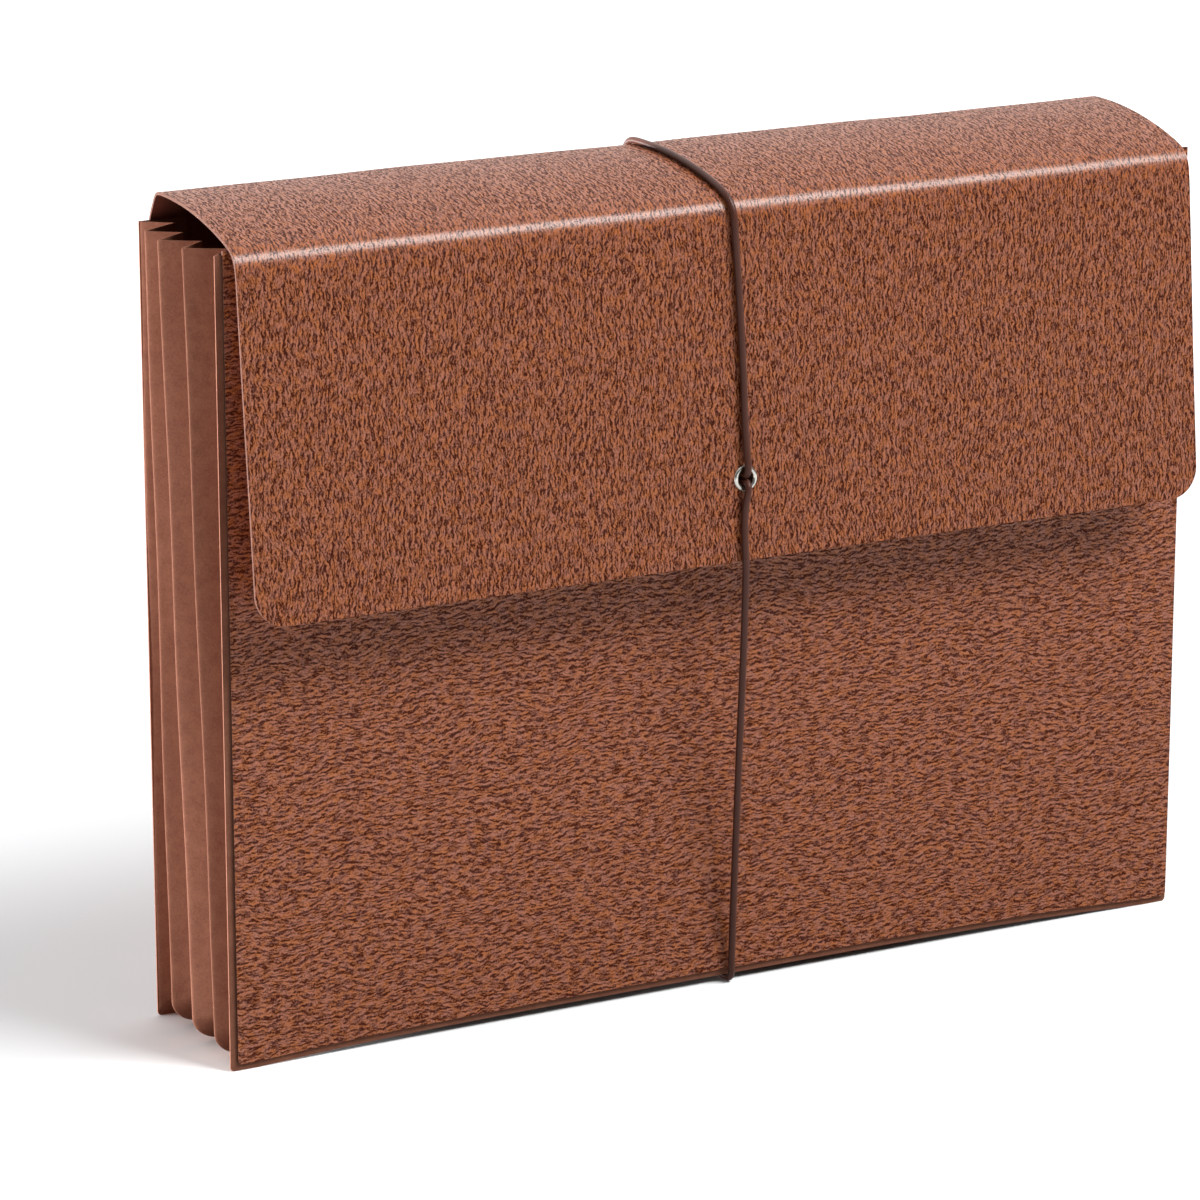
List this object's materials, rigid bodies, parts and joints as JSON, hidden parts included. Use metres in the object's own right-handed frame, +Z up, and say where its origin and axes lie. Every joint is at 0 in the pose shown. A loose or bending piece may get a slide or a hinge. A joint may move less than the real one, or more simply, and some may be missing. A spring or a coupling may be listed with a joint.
{
  "type": "file wallet",
  "caption": "Expanding file wallet: grained board covers joined by a pleated paper gusset, with a fold-over flap held shut by a loop of round elastic through an eyelet.",
  "frame": {"origin": "on the table, under the centre of the closed wallet's box", "axes": "+X across the wallet to the right as seen from the front, +Y from the front cover to the back cover, +Z up"},
  "size_m": [0.3154, 0.0712, 0.2388],
  "materials": {
    "grained_board": "varnished, printed and embossed with a leather grain",
    "gusset_paper": "matt",
    "plated_metal": "nickel plated",
    "elastic": "braided"
  },
  "bodies": {
    "back": {"back_cover": "grained_board", "gusset_back_strip": "gusset_paper"},
    "band": {"back_band": "grained_board"},
    "top": {"top_panel": "grained_board"},
    "flap": {"flap": "grained_board", "eyelet": "plated_metal", "cord_knot": "elastic", "elastic_cord": "elastic"},
    "front": {"front_cover": "grained_board", "gusset_front_strip": "gusset_paper"},
    "pleat_1": {"gusset_pleat_1": "gusset_paper"},
    "pleat_2": {"gusset_pleat_2": "gusset_paper"},
    "pleat_3": {"gusset_pleat_3": "gusset_paper"},
    "pleat_4": {"gusset_pleat_4": "gusset_paper"}
  },
  "joints": [
    {"name": "expand", "type": "slide", "parent": "back", "child": "front", "axis": [0, -1, 0], "range_m": [-0.04, 0], "deforming": ["gusset_pleat_1", "gusset_pleat_2", "gusset_pleat_3", "gusset_pleat_4"]},
    {"name": "pleat_1_fold", "type": "slide", "parent": "back", "child": "pleat_1", "axis": [0, -1, 0], "range_m": [-0.005, 0]},
    {"name": "pleat_2_fold", "type": "slide", "parent": "back", "child": "pleat_2", "axis": [0, -1, 0], "range_m": [-0.015, 0]},
    {"name": "pleat_3_fold", "type": "slide", "parent": "back", "child": "pleat_3", "axis": [0, -1, 0], "range_m": [-0.025, 0]},
    {"name": "pleat_4_fold", "type": "slide", "parent": "back", "child": "pleat_4", "axis": [0, -1, 0], "range_m": [-0.035, 0]},
    {"name": "band_bend", "type": "hinge", "parent": "back", "child": "band", "pos_m": [0, 0.03325, 0.2278], "axis": [-1, 0, 0], "range_deg": [0, 51]},
    {"name": "flap_fold", "type": "hinge", "parent": "band", "child": "top", "pos_m": [0, 0.02825, 0.2362], "axis": [-1, 0, 0], "range_deg": [0, 170], "deforming": ["elastic_cord"]},
    {"name": "flap_crease", "type": "hinge", "parent": "top", "child": "flap", "pos_m": [0, -0.02375, 0.2282], "axis": [-1, 0, 0], "range_deg": [0, 102]}
  ],
  "couplings": [
    {"joint": "pleat_1_fold", "follows": "expand", "ratio": 0.125},
    {"joint": "pleat_2_fold", "follows": "expand", "ratio": 0.375},
    {"joint": "pleat_3_fold", "follows": "expand", "ratio": 0.625},
    {"joint": "pleat_4_fold", "follows": "expand", "ratio": 0.875},
    {"joint": "band_bend", "follows": "flap_fold", "ratio": 0.3},
    {"joint": "flap_crease", "follows": "flap_fold", "ratio": 0.6}
  ]
}
